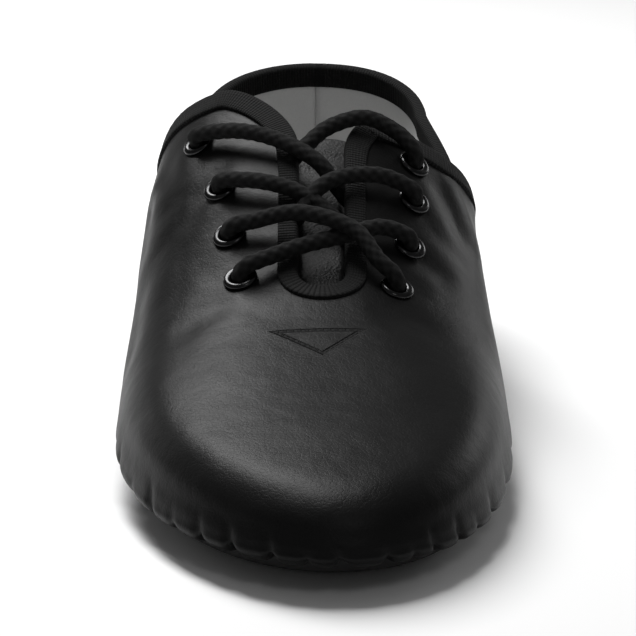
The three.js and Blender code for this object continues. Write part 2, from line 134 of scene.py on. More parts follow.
# Plan outline at the widest level, as shares of the ball width
PLAN = Table(("inner", "outer", "spine"), [
    (0.123, 0.330, 0.335, 0.000),
    (0.220, 0.385, 0.400, 0.010),
    (0.320, 0.420, 0.440, 0.015),
    (0.420, 0.430, 0.460, 0.015),
    (0.520, 0.455, 0.475, 0.015),
    (0.600, 0.480, 0.495, 0.015),
    (0.680, 0.490, 0.502, 0.015),
])

# Side view: top and widest level as shares of the instep height, and the underside's level
# as a share of the way from the ball's seat up to the heel's seat
PROFILE = Table(("top", "widest", "lift"), [
    (0.00, 1.310, 0.373, 1.00),
    (0.12, 1.310, 0.400, 1.00),
    (0.20, 1.290, 0.467, 1.00),
    (0.26, 1.250, 0.520, 1.06),
    (0.31, 1.190, 0.573, 1.35),
    (0.36, 1.080, 0.613, 1.55),
    (0.40, 1.000, 0.613, 1.45),
    (0.44, 0.933, 0.560, 1.10),
    (0.48, 0.867, 0.480, 0.75),
    (0.54, 0.753, 0.360, 0.28),
    (0.60, 0.640, 0.253, 0.06),
    (0.64, 0.580, 0.213, 0.00),
    (0.70, 0.513, 0.173, 0.00),
    (0.80, 0.433, 0.147, 0.00),
    (0.90, 0.385, 0.140, 0.00),
    (1.00, 0.345, 0.145, 0.08),
])

# How boxy each section is: the exponents of its rounded quarters
BOXINESS = Table((
    "inner_across", "inner_up", "outer_across", "outer_up", "low_across", "low_down",
), [
    (0.00, 2.8, 2.2, 2.8, 2.2, 5.5, 4.2),
    (0.20, 2.6, 2.1, 2.8, 2.2, 5.0, 3.4),
    (0.32, 2.0, 1.7, 2.7, 1.9, 3.2, 2.1),
    (0.42, 1.8, 1.5, 2.6, 1.6, 3.0, 1.9),
    (0.52, 1.8, 1.5, 2.3, 1.7, 3.0, 2.0),
    (0.60, 1.9, 1.6, 2.2, 1.8, 3.2, 2.2),
    (0.72, 2.4, 2.0, 2.5, 2.0, 3.6, 2.4),
    (0.85, 3.0, 2.4, 3.0, 2.4, 3.6, 2.4),
    (1.00, 3.4, 2.6, 3.4, 2.6, 3.2, 2.2),
])

# The collar's edge, as shares of its height at the back of the heel
COLLAR = Table(("inner", "outer"), [
    (0.00, 1.000, 1.000),
    (0.05, 0.950, 0.950),
    (0.12, 0.865, 0.880),
    (0.18, 0.795, 0.830),
    (0.25, 0.705, 0.800),
    (0.29, 0.667, 0.820),
    (0.32, 0.660, 0.920),
    (0.34, 0.685, 1.040),
    (0.36, 0.750, 1.140),
    (0.38, 0.850, 1.250),
    (0.40, 0.950, 1.380),
    (0.42, 1.140, 1.670),
    (1.00, 3.000, 3.000),
])

# Eyelets from the top of the throat down: row, side, share of the length, share of the ball width
EYELETS = [
    (1, -1, 0.414, 0.312),
    (2, -1, 0.491, 0.250),
    (3, -1, 0.552, 0.222),
    (4, -1, 0.610, 0.191),
    (1, 1, 0.441, 0.258),
    (2, 1, 0.492, 0.254),
    (3, 1, 0.554, 0.239),
    (4, 1, 0.618, 0.203),
]


def side_name(side):
    return "inner" if side > 0 else "outer"


def spine_at(share):
    return PLAN.read(share, "spine") * BALL_WIDTH


def outline_at(side, share):
    return side * PLAN.read(share, side_name(side)) * BALL_WIDTH


@lru_cache(maxsize=None)
def levels_at(share):
    lift = PROFILE.read(share, "lift")
    top = PROFILE.read(share, "top") * INSTEP_HEIGHT
    widest = PROFILE.read(share, "widest") * INSTEP_HEIGHT
    return top, widest, BALL_SEAT + (HEEL_SEAT - BALL_SEAT) * lift


@lru_cache(maxsize=None)
def section_at(side, station):
    """Where a section starts on the spine and ends on the outline: x, t, x, t, and its share."""
    if station <= 1:
        turn = station * pi / 2
        share = HEEL_RADIUS / SHOE_LENGTH
        spine = spine_at(share)
        reach = (outline_at(side, share) - spine) * max(sin(turn), 0) ** (2 / HEEL_BACK_ROUNDING)
        back = HEEL_RADIUS * (1 - max(cos(turn), 0) ** (2 / HEEL_BACK_ROUNDING))
        return spine, HEEL_RADIUS, spine + reach, back, share
    toe = TOE_SHARE * SHOE_LENGTH
    if station <= 2:
        t = HEEL_RADIUS + (toe - HEEL_RADIUS) * (station - 1)
        share = t / SHOE_LENGTH
        return spine_at(share), t, outline_at(side, share), t, share
    turn = (station - 2) * pi / 2
    rounding = TOE_INNER_ROUNDING if side > 0 else TOE_OUTER_ROUNDING
    spine = spine_at(TOE_SHARE)
    reach = (outline_at(side, TOE_SHARE) - spine) * max(cos(turn), 0) ** (2 / rounding)
    x = spine + reach + TOE_SHIFT * sin(turn) ** 2
    t = toe + (SHOE_LENGTH - toe) * max(sin(turn), 0) ** (2 / rounding)
    return spine, toe, x, t, TOE_SHARE + (1 - TOE_SHARE) * sin(turn)


@lru_cache(maxsize=None)
def rounding_at(side, share, low):
    if low:
        return BOXINESS.read(share, "low_across"), BOXINESS.read(share, "low_down")
    name = side_name(side)
    return BOXINESS.read(share, name + "_across"), BOXINESS.read(share, name + "_up")


def station_of(share):
    return 1 + (share * SHOE_LENGTH - HEEL_RADIUS) / (TOE_SHARE * SHOE_LENGTH - HEEL_RADIUS)


def face_point(side, station, angle):
    """The leather's outer face: angle 90 is the ridge, 0 the widest level, -90 underneath."""
    x0, t0, x1, t1, share = section_at(side, station)
    across_power, height_power = rounding_at(side, share, angle < 0)
    turn = radians(abs(angle))
    across = 0.0 if abs(angle) == 90 else max(cos(turn), 0) ** (2 / across_power)
    height = sin(turn) ** (2 / height_power)
    t = t0 + (t1 - t0) * across
    top, widest, under = levels_at(round(t / SHOE_LENGTH, 7))
    z = widest - (widest - under) * height if angle < 0 else widest + (top - widest) * height
    return Vector((x0 + (x1 - x0) * across, HEEL_RADIUS - t, z))


def angle_across(side, station, across, low):
    across_power, _ = rounding_at(side, section_at(side, station)[4], low)
    angle = degrees(acos(min(max(across, 0), 1) ** (across_power / 2)))
    return -angle if low else angle


def face_steps(side, station, angle):
    """The face's steps along the shoe and up the section, and its outward normal."""
    s0, s1 = max(station - 0.002, 0), min(station + 0.002, 3)
    a0, a1 = max(angle - 0.25, -90), min(angle + 0.25, 90)
    along = (face_point(side, s1, angle) - face_point(side, s0, angle)) / (s1 - s0)
    up = (face_point(side, station, a1) - face_point(side, station, a0)) / (a1 - a0)
    return along, up, (up.cross(along) * side).normalized()


def lifted(side, station, angle, height):
    normal = face_steps(side, station, min(angle, 89.5))[2]
    return face_point(side, station, angle) + normal * height


def place_on_top(share, x):
    """A place on the shoe's upper face: its point and outward normal."""
    side = 1 if x >= spine_at(share) else -1
    station = station_of(share)
    spine, _, out, _, _ = section_at(side, station)
    angle = angle_across(side, station, (x - spine) / (out - spine), False)
    return face_point(side, station, angle), face_steps(side, station, min(angle, 89))[2]


def throat_at(t):
    """Half the width of the throat's opening: round at its end, flaring into the tabs."""
    if t < THROAT_TOP or t > THROAT_END:
        return 0.0
    from_end = min((THROAT_END - t) / THROAT_HALF_GAP, 1)
    flare = max((FLARE_START - t) / FLARE_LENGTH, 0)
    return THROAT_HALF_GAP * sqrt(1 - (1 - from_end) ** 2) + FLARE_SPREAD * flare**2


def inside_edge(side, station, angle):
    point = face_point(side, station, angle)
    t = HEEL_RADIUS - point.y
    edge = COLLAR.read(t / SHOE_LENGTH, side_name(side)) * HEEL_COLLAR_HEIGHT
    return point.z <= edge and abs(point.x - spine_at(t / SHOE_LENGTH)) >= throat_at(t)


@lru_cache(maxsize=None)
def top_angle(side, station):
    """The highest angle that the leather reaches on a section."""
    if inside_edge(side, station, 90):
        return 90.0
    low, high = 0.0, 90.0
    for _ in range(26):
        middle = (low + high) / 2
        if inside_edge(side, station, middle):
            low = middle
        else:
            high = middle
    return low


def station_list(heel_steps, along_steps, toe_steps, end_turns):
    """Stations of the sections, with the throat's round end taken in even turns."""
    ends = []
    for i in range(end_turns + 1):
        back = THROAT_HALF_GAP * (1 - cos(i * pi / 2 / end_turns))
        ends.append(station_of((THROAT_END - back) / SHOE_LENGTH))
    stations = [i / heel_steps for i in range(heel_steps)]
    for i in range(along_steps):
        station = 1 + i / along_steps
        if min(abs(end - station) for end in ends) > 0.4 / along_steps:
            stations.append(station)
    stations += ends + [2 + i / toe_steps for i in range(toe_steps + 1)]
    return sorted(stations)


def smooth(low, high, value):
    u = min(max((value - low) / (high - low), 0), 1)
    return u * u * (3 - 2 * u)


def to_object(name, mesh_builder, materials, replaced):
    """Makes one finished piece from a bmesh in millimetres and hands it to the frame."""
    mesh = bpy.data.meshes.new(name)
    bmesh.ops.scale(mesh_builder, vec=(MM, MM, MM), verts=mesh_builder.verts)
    mesh_builder.to_mesh(mesh)
    mesh_builder.free()
    for polygon in mesh.polygons:
        polygon.use_smooth = True
    for material in materials:
        mesh.materials.append(material)
    piece = bpy.data.objects.new(name, mesh)
    bpy.context.scene.collection.objects.link(piece)
    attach(piece, "root")
    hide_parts(*replaced)
    return piece


def mapped_grid(builder, columns, rows, place):
    """A grid whose corner (i, j) goes to place(i, j), with a UV map over the whole grid."""
    if not builder.loops.layers.uv:
        builder.loops.layers.uv.new("UVMap")
    made = bmesh.ops.create_grid(
        builder, x_segments=columns, y_segments=rows, size=1, calc_uvs=True)
    for vert in made["verts"]:
        i = round((vert.co.x + 1) / 2 * columns)
        j = round((vert.co.y + 1) / 2 * rows)
        vert.co = place(i, j)
    return made["verts"]


def thicken(piece, thickness, inner_slot=0):
    """Gives a sheet its wall, inwards from its face, with its own material inside."""
    wall = piece.modifiers.new("Wall", "SOLIDIFY")
    wall.thickness = thickness * MM
    wall.offset = -1
    wall.material_offset = inner_slot


class Value:
    """A shader socket that takes part in Python expressions."""

    def __init__(self, nodes, socket):
        self.nodes = nodes
        self.socket = socket

    def math(self, operation, *others):
        return self.nodes.make("ShaderNodeMath", {"operation": operation}, [self, *others])

    def __add__(self, other):
        return self.math("ADD", other)

    def __radd__(self, other):
        return self.math("ADD", other)

    def __sub__(self, other):
        return self.math("SUBTRACT", other)

    def __rsub__(self, other):
        return self.nodes.make("ShaderNodeMath", {"operation": "SUBTRACT"}, [other, self])

    def __mul__(self, other):
        return self.math("MULTIPLY", other)

    def __rmul__(self, other):
        return self.math("MULTIPLY", other)

    def __truediv__(self, other):
        return self.math("DIVIDE", other)


class Nodes:
    """Builds one material's nodes."""

    def __init__(self, name):
        self.material = bpy.data.materials.new(name)
        self.material.use_nodes = True
        self.tree = self.material.node_tree
        self.shader = self.tree.nodes["Principled BSDF"]

    def make(self, kind, settings=None, inputs=None, output=0):
        """Adds a node, sets its settings, then links or sets its inputs by place or name."""
        node = self.tree.nodes.new(kind)
        for key, setting in (settings or {}).items():
            setattr(node, key, setting)
        pairs = inputs.items() if isinstance(inputs, dict) else enumerate(inputs or [])
        for key, given in pairs:
            self.feed(node.inputs[key], given)
        return Value(self, node.outputs[output])

    def feed(self, socket, given):
        if isinstance(given, Value):
            self.tree.links.new(given.socket, socket)
        elif given is not None:
            socket.default_value = given

    def finish(self, **sockets):
        for name, given in sockets.items():
            self.feed(self.shader.inputs[name.replace("_", " ")], given)
        return self.material

    def object_place(self):
        return self.make("ShaderNodeTexCoord", output="Object")

    def coordinates(self):
        """Object coordinates in millimetres."""
        given = {"Vector": self.object_place(), "Scale": [1 / MM] * 3}
        return self.make("ShaderNodeMapping", {}, given)

    def part(self, vector, which):
        """One of a vector's three parts: 0, 1 or 2."""
        return self.make("ShaderNodeSeparateXYZ", {}, [vector], which)

    def uv(self):
        return self.make("ShaderNodeUVMap", {"uv_map": "UVMap"}, {}, "UV")

    def attribute(self, name):
        return self.make("ShaderNodeAttribute", {"attribute_name": name}, {}, "Fac")

    def noise(self, vector, scale, detail, roughness):
        given = {"Vector": vector, "Scale": scale, "Detail": detail, "Roughness": roughness}
        return self.make("ShaderNodeTexNoise", {}, given, "Fac")

    def cells(self, vector, scale, feature="F1"):
        given = {"Vector": vector, "Scale": scale}
        return self.make("ShaderNodeTexVoronoi", {"feature": feature}, given, "Distance")

    def bump(self, height, distance, strength, normal=None):
        given = {"Height": height, "Distance": distance * MM, "Strength": strength, "Normal": normal}
        return self.make("ShaderNodeBump", {}, given, "Normal")

    def mix(self, factor, first, second):
        node = self.tree.nodes.new("ShaderNodeMix")
        node.data_type = "RGBA"
        self.feed(node.inputs[0], factor)
        self.feed(node.inputs[6], first)
        self.feed(node.inputs[7], second)
        return Value(self, node.outputs[2])

    def band(self, value, low, high):
        """0 below low, 1 above high, smooth between."""
        return self.make(
            "ShaderNodeMapRange", {"interpolation_type": "SMOOTHSTEP"},
            {"Value": value, "From Min": low, "From Max": high}, "Result",
        )


def grey(value):
    return (value, value, value, 1)


# The stitched triangle over the tongue's root: millimetres across and share of the length
TRIANGLE = ((-9.4, 0.700), (10.6, 0.697), (1.6, 0.737))
TRIANGLE_FADE = (25, 28)
STITCH_LENGTH = 1.7


def triangle_seam(nodes):
    """Masks of the triangle's sunk seam and of the stitches that lie in it."""
    place = nodes.object_place()
    x, y, z = (nodes.part(place, which) / MM for which in range(3))
    corners = [(cx, HEEL_RADIUS - share * SHOE_LENGTH) for cx, share in TRIANGLE]
    middle = [sum(corner[k] for corner in corners) / 3 for k in range(2)]
    outside = None
    for (ax, ay), (bx, by) in zip(corners, corners[1:] + corners[:1]):
        length = hypot(bx - ax, by - ay)
        nx, ny = (by - ay) / length, -(bx - ax) / length
        if (middle[0] - ax) * nx + (middle[1] - ay) * ny > 0:
            nx, ny = -nx, -ny
        away = (x - ax) * nx + (y - ay) * ny
        along = (x - ax) * ((bx - ax) / length) + (y - ay) * ((by - ay) / length)
        nearer = away.math("GREATER_THAN", outside) if outside else 1
        run = along * nearer + run * (1 - nearer) if outside else along
        outside = outside.math("MAXIMUM", away) if outside else away
    line = outside.math("ABSOLUTE")
    over = nodes.band(z, *TRIANGLE_FADE)
    seam = (1 - nodes.band(line, 0.25, 0.75)) * over
    dash = nodes.band((run * (2 * pi / STITCH_LENGTH)).math("SINE"), -0.6, 0.1)
    thread = (1 - nodes.band(line, 0.12, 0.34)) * dash * over
    return seam, thread


def leather_material(settings):
    nodes = Nodes("black_leather")
    place = nodes.coordinates()
    pebbles = nodes.cells(place, 1.5)
    creases = nodes.cells(place, 0.9, "DISTANCE_TO_EDGE")
    fine = nodes.noise(place, 2.6, 3, 0.6)
    patches = nodes.noise(place, 0.035, 3, 0.55)
    grain = pebbles * 0.5 + nodes.band(creases, 0.0, 0.12) * 0.35 + fine * 0.5
    seam, thread = triangle_seam(nodes)
    height = grain * 0.5 - seam * 7.0 + thread * 5.0
    normal = nodes.bump(height, 0.13, settings.grain_strength)
    normal = nodes.bump(nodes.noise(place, 0.12, 2, 0.5), 0.5, 0.5, normal)
    base = nodes.mix(patches, grey(settings.leather_grey * 0.75), grey(settings.leather_grey * 1.3))
    # The sunk seam is painted darker: painted shade in its groove.
    seam_shaded_colour = nodes.mix(seam, base, grey(settings.leather_grey * 0.3))
    roughness = 0.30 + patches * 0.12 + fine * 0.10 + seam * 0.2
    return nodes.finish(
        Base_Color=seam_shaded_colour, Roughness=roughness, Normal=normal, Specular_IOR_Level=0.09,
    )


def lining_material(settings):
    nodes = Nodes("grey_lining")
    place = nodes.coordinates()
    nap = nodes.noise(place, 1.8, 4, 0.7)
    cloud = nodes.noise(place, 0.06, 3, 0.5)
    base = nodes.mix(nap * 0.5 + cloud * 0.5, settings.lining_colour[:] + (1,), grey(0.40))
    return nodes.finish(
        Base_Color=base, Roughness=0.92, Normal=nodes.bump(nap, 0.15, 0.6), Sheen_Weight=0.25,
    )


def tape_material(settings):
    """Ribbed tape: the ribs cross the tape's width, so they follow its long direction."""
    nodes = Nodes("ribbed_tape")
    wave = (nodes.attribute("rib") * (2 * pi)).math("SINE") * 0.5 + 0.5
    yarn = (nodes.part(nodes.uv(), 1) * (2 * pi * YARNS_ACROSS)).math("SINE") * 0.5 + 0.5
    fuzz = nodes.noise(nodes.coordinates(), 2.0, 3, 0.7)
    height = wave * 0.7 + yarn * 0.25 + fuzz * 0.6
    # Colour follows the ribs' waves: painted shade in their valleys and painted light on their tops, with a
    # random fuzz tone.
    relief_shade_and_fuzz = wave * 0.7 + fuzz * 0.3
    base = nodes.mix(relief_shade_and_fuzz, grey(settings.tape_grey * 0.6), grey(settings.tape_grey * 1.6))
    return nodes.finish(
        Base_Color=base, Roughness=0.8, Normal=nodes.bump(height, 0.28, 0.9),
        Specular_IOR_Level=0.15,
    )


def tongue_material(settings):
    nodes = Nodes("tongue_leather")
    place = nodes.coordinates()
    pebbles = nodes.cells(place, 1.5)
    wrinkle = nodes.noise(place, 0.6, 5, 0.7)
    # Colour follows the wrinkles, as the bump does: painted shade in their hollows and painted light on
    # their crests.
    base = nodes.mix(wrinkle, grey(settings.leather_grey * 0.7), grey(settings.leather_grey * 1.6))
    normal = nodes.bump(pebbles * 0.4 + wrinkle, 0.5, 0.7)
    return nodes.finish(
        Base_Color=base, Roughness=0.45 + wrinkle * 0.2, Normal=normal, Specular_IOR_Level=0.22,
    )


def cord_material(settings):
    nodes = Nodes("braided_cord")
    waves = (nodes.attribute("run") * (2 * pi / BRAID_PITCH)).math("SINE")
    strands = (nodes.part(nodes.uv(), 1) * (2 * pi * BRAID_STRANDS)).math("SINE")
    braid = waves * strands * 0.5 + 0.5
    fuzz = nodes.noise(nodes.coordinates(), 1.9, 4, 0.8)
    # Colour follows the braid's relief: painted shade and highlight over the strands, with a random fuzz
    # tone.
    relief_shade_and_fuzz = braid * 0.6 + fuzz * 0.4
    base = nodes.mix(relief_shade_and_fuzz, grey(settings.cord_grey * 0.2), grey(settings.cord_grey * 3.4))
    normal = nodes.bump(braid * 0.5 + fuzz * 0.8, 0.30, 0.9)
    return nodes.finish(Base_Color=base, Roughness=0.85, Normal=normal, Specular_IOR_Level=0.15)


def metal_material(settings):
    nodes = Nodes("black_nickel")
    marks = nodes.noise(nodes.coordinates(), 1.2, 3, 0.6)
    base = nodes.mix(marks, settings.metal_colour[:] + (1,), grey(0.05))
    return nodes.finish(Base_Color=base, Metallic=1.0, Roughness=0.15 + marks * 0.12)


def rubber_material(settings):
    nodes = Nodes("sole_rubber")
    place = nodes.coordinates()
    fine = nodes.noise(place, 1.4, 3, 0.6)
    dust = nodes.noise(place, 0.08, 4, 0.6)
    base = nodes.mix(dust, grey(settings.sole_grey * 0.5), grey(settings.sole_grey * 1.4))
    return nodes.finish(
        Base_Color=base, Roughness=0.6 + dust * 0.25, Normal=nodes.bump(fine, 0.12, 0.6),
    )


MATERIALS = {}


def material(name, builder):
    """Each material is made once and shared."""
    if name not in MATERIALS:
        MATERIALS[name] = builder(bpy.context.scene.jazz_shoe)
    return MATERIALS[name]


# The gathers under the toe: valleys as turns round the toe from its middle, outer side
# negative, with how deep each one is drawn
GATHERS = (
    (-98, 0.4), (-86, 0.7), (-78, 1.0), (-66, 0.5), (-56, 1.3), (-47, 0.6), (-38, 1.1), (-29, 1.35),
    (-18, 1.2), (-8, 0.5), (1, 0.9), (14, 0.9), (22, 0.5), (29, 1.2), (39, 1.35), (47, 0.6),
    (56, 1.1), (70, 1.0), (84, 0.6), (96, 0.4),
)
GATHER_PUFF = 0.5
GATHER_CUT = 1.9
GATHER_TOP = 13
GATHER_LEAN = 1.4
SHOULDER_RIDGE = 0.9
SHOULDER_HOLLOW = 1.2

# Soft creases: start and end as (x, share of length, z), then width and depth in millimetres
CREASES = (
    ((-36, 0.385, 60), (-31, 0.47, 50), 3.2, 0.9),
    ((-41, 0.40, 52), (-38, 0.50, 36), 4.5, 1.0),
    ((-20, 0.455, 67), (-33, 0.52, 47), 3.0, 0.5),
    ((-43, 0.50, 40), (-45, 0.64, 20), 5.0, 0.7),
    ((26, 0.425, 60), (36, 0.50, 40), 3.4, 0.8),
    ((33, 0.38, 54), (39, 0.46, 36), 4.0, 0.9),
    ((20, 0.555, 51), (34, 0.57, 38), 4.0, 0.5),
    ((-18, 0.63, 43), (-34, 0.66, 32), 5.0, 0.5),
    ((10, 0.66, 41), (30, 0.66, 34), 5.0, 0.35),
)


def bell(value, middle, width):
    return exp(-(((value - middle) / width) ** 2))


def gathers_at(side, station, angle):
    """Puffed folds with sharp valleys, where the leather is drawn in under the toe."""
    turn = side * 90 * (3 - station) + GATHER_LEAN * sin(radians(angle * 3))
    along = smooth(1.9, 2.1, station)
    if along == 0 or angle > GATHER_TOP or not GATHERS[0][0] < turn < GATHERS[-1][0]:
        return 0.0
    k = max(n for n, (valley, _) in enumerate(GATHERS) if valley <= turn)
    (left, left_depth), (right, right_depth) = GATHERS[k], GATHERS[k + 1]
    u = (turn - left) / (right - left)
    depth = left_depth + (right_depth - left_depth) * smooth(0.35, 0.65, u)
    puff = 1 - abs(2 * u - 1) ** 2.2
    down = smooth(GATHER_TOP - 8 * (1.25 - depth), -24, angle)
    valley = max(0, abs(2 * u - 1) - 0.5) / 0.5
    return along * down * (GATHER_PUFF * puff - GATHER_CUT * depth * valley**2)


def shoulder_at(station, angle):
    """The toe's boxed shoulder over a slightly hollow wall."""
    along = smooth(1.75, 2.25, station)
    ridge = SHOULDER_RIDGE * bell(angle, 40, 13)
    return along * (ridge - SHOULDER_HOLLOW * bell(angle, 10, 12))


def creases_at(point):
    total = 0.0
    for (x0, share0, z0), (x1, share1, z1), width, depth in CREASES:
        start = Vector((x0, HEEL_RADIUS - share0 * SHOE_LENGTH, z0))
        line = Vector((x1, HEEL_RADIUS - share1 * SHOE_LENGTH, z1)) - start
        u = min(max((point - start).dot(line) / line.length_squared, 0), 1)
        away = (point - start - line * u).length
        if away < 3 * width:
            fade = smooth(0, 0.3, u) * smooth(1, 0.7, u) if 0 < u < 1 else 0.0
            total -= depth * fade * exp(-((away / width) ** 2))
            total += 0.5 * depth * fade * exp(-(((away - 1.8 * width) / width) ** 2))
    return total


def edge_frames(stations):
    """The leather's free edge as a closed loop of places, each with the way into the leather."""
    def side_edge(side):
        places = [(side, station, top_angle(side, station)) for station in stations]
        return [place for place in places if place[2] < 90]

    end = (1, station_of(THROAT_END / SHOE_LENGTH), 90.0)
    loop = side_edge(1) + [end] + side_edge(-1)[1:][::-1]
    points = [face_point(*place) for place in loop]
    frames = []
    for i, (side, station, angle) in enumerate(loop):
        tangent = (points[(i + 1) % len(loop)] - points[i - 1]).normalized()
        normal = face_steps(side, station, min(angle, 89.5))[2]
        frames.append((side, station, angle, normal.cross(tangent).normalized()))
    return frames


def walk(side, station, angle, direction, distance):
    """Moves a place over the leather's face in a direction, in short steps."""
    steps = 4
    for _ in range(steps):
        along, up, _ = face_steps(side, station, angle)
        aa, au, uu = along.dot(along), along.dot(up), up.dot(up)
        da, du = direction.dot(along), direction.dot(up)
        scale = distance / steps / (aa * uu - au * au)
        station = min(max(station + scale * (da * uu - du * au), 0), 3)
        angle = min(angle + scale * (du * aa - da * au), 90)
    return side, station, angle


def eyelet_matrix(side, share, across):
    point, normal = place_on_top(share, side * across * BALL_WIDTH)
    turn = Vector((0, 0, 1)).rotation_difference(normal)
    return Matrix.Translation(point) @ turn.to_matrix().to_4x4()


class ShoeSettings(bpy.types.PropertyGroup):
    """Sizes and colours that a user may change."""

    leather_grey: bpy.props.FloatProperty(
        name="Leather", description="Brightness of the black leather",
        default=0.004, min=0, max=1)
    grain_strength: bpy.props.FloatProperty(
        name="Grain", description="Strength of the leather's fine grain",
        default=0.55, min=0, max=1)
    tape_grey: bpy.props.FloatProperty(
        name="Tape", description="Brightness of the black binding tape",
        default=0.004, min=0, max=1)
    cord_grey: bpy.props.FloatProperty(
        name="Cord", description="Brightness of the black lace", default=0.004, min=0, max=1)
    sole_grey: bpy.props.FloatProperty(
        name="Sole", description="Brightness of the black rubber", default=0.020, min=0, max=1)
    lining_colour: bpy.props.FloatVectorProperty(
        name="Lining", description="Colour of the cotton lining", subtype="COLOR", size=3,
        default=(0.62, 0.62, 0.61), min=0, max=1)
    metal_colour: bpy.props.FloatVectorProperty(
        name="Eyelets", description="Colour of the plated metal", subtype="COLOR", size=3,
        default=(0.010, 0.010, 0.011), min=0, max=1)
    floor_grey: bpy.props.FloatProperty(
        name="Floor", description="Brightness of the floor", default=0.86, min=0, max=1)
    tape_thickness: bpy.props.FloatProperty(
        name="Tape thickness", description="Thickness of the binding tape", default=0.8 * MM,
        min=0.3 * MM, max=2 * MM, unit="LENGTH")


class ShoeOperator:
    """Shared settings of the operators."""

    bl_options = {"REGISTER", "UNDO"}


class JAZZ_OT_upper(ShoeOperator, bpy.types.Operator):
    """The leather shell with its gathers, creases, eyelet holes and lining"""

    bl_idname = "jazz.upper"
    bl_label = "Upper"

    def execute(self, context):
        stations = station_list(26, 116, 120, 12)
        low_rows, high_rows = 34, 48
        builder = bmesh.new()
        relief = builder.verts.layers.float.new("relief")
        for side in (1, -1):
            heights = {}

            def place(i, j, side=side, heights=heights):
                station = stations[i]
                if j < low_rows:
                    angle = -90 * (low_rows - j) / low_rows
                else:
                    angle = top_angle(side, station) * (j - low_rows) / high_rows
                point = face_point(side, station, angle)
                height = gathers_at(side, station, angle) + shoulder_at(station, angle)
                heights[tuple(point)] = height
                return point

            made = mapped_grid(builder, len(stations) - 1, low_rows + high_rows, place)
            for vert in made:
                vert[relief] = heights[tuple(vert.co)] + creases_at(vert.co)
        bmesh.ops.remove_doubles(builder, verts=builder.verts, dist=0.01)
        heel = [v for v in builder.verts if v.co.y > HEEL_SMOOTH_FROM and not v.is_boundary]
        for _ in range(HEEL_SMOOTHING):
            bmesh.ops.smooth_vert(
                builder, verts=heel, factor=0.5, use_axis_x=True, use_axis_y=True, use_axis_z=True)
        bmesh.ops.recalc_face_normals(builder, faces=builder.faces)
        builder.normal_update()
        moves = [(vert, vert.normal * vert[relief]) for vert in builder.verts]
        for vert, move in moves:
            vert.co += move
        self.cut_eyelets(builder)
        piece = to_object(
            "leather_upper", builder,
            [material("leather", leather_material), material("lining", lining_material)],
            ("upper",),
        )
        thicken(piece, UPPER_WALL, inner_slot=1)
        return {"FINISHED"}

    def cut_eyelets(self, builder):
        """Opens a round hole for each eyelet and draws its rim onto a circle."""
        for _, side, share, across in EYELETS:
            matrix = eyelet_matrix(side, share, across)
            centre = matrix.translation
            gone = []
            for face in builder.faces:
                if (face.calc_center_median() - centre).length < EYELET_HOLE * 0.9:
                    gone.append(face)
            if not gone:
                raise RuntimeError("no leather where an eyelet belongs")
            bmesh.ops.delete(builder, geom=gone, context="FACES")
            for vert in builder.verts:
                offset = vert.co - centre
                if vert.is_boundary and offset.length < EYELET_HOLE * 1.6:
                    vert.co = centre + offset.normalized() * EYELET_HOLE


class JAZZ_OT_binding(ShoeOperator, bpy.types.Operator):
    """The ribbed tape folded over the collar and throat"""

    bl_idname = "jazz.binding"
    bl_label = "Binding"

    def execute(self, context):
        frames = edge_frames(station_list(26, 112, 4, 12))
        count = len(frames)
        thickness = context.scene.jazz_shoe.tape_thickness / MM
        reaches = [1.0, 0.98, 0.9, 0.7, 0.45, 0.2, 0.0]
        heights = [-TAPE_SUNK, thickness * 0.8] + [thickness] * 5
        turns = [22, 45, 68, 90, 112, 135, 158]
        half = UPPER_WALL / 2 + thickness
        section = []
        for side, station, angle, inward in frames:
            share = section_at(side, station)[4]
            width = BINDING_WIDTH * (1 - TAPE_NARROWING * smooth(0.42, 0.50, share))
            walked = [walk(side, station, angle, inward, width * r) for r in reaches]
            outer = [lifted(*place, h) for place, h in zip(walked, heights)]
            inner = [lifted(*place, -UPPER_WALL - h) for place, h in zip(walked, heights)][::-1]
            centre = lifted(side, station, angle, -UPPER_WALL / 2)
            normal = face_steps(side, station, min(angle, 89.5))[2]
            fold = []
            for turn in turns:
                a = radians(turn)
                fold.append(centre + normal * (half * cos(a)) - inward * (half * 0.6 * sin(a)))
            section.append(outer + fold + inner)
        run = [0.0]
        for i in range(count):
            a = face_point(*frames[i][:3])
            b = face_point(*frames[(i + 1) % count][:3])
            run.append(run[-1] + (b - a).length)
        whole = round(run[-1] * RIBS_A_MM)
        builder = bmesh.new()
        rib = builder.verts.layers.float.new("rib")
        keys = {}

        def place(i, j):
            point = section[i % count][j]
            keys[tuple(point)] = run[i] / run[-1] * whole
            return point

        made = mapped_grid(builder, count, len(section[0]) - 1, place)
        for vert in made:
            vert[rib] = keys[tuple(vert.co)]
        bmesh.ops.recalc_face_normals(builder, faces=builder.faces)
        to_object(
            "collar_tape", builder, [material("tape", tape_material)],
            ("collar_binding",))
        return {"FINISHED"}


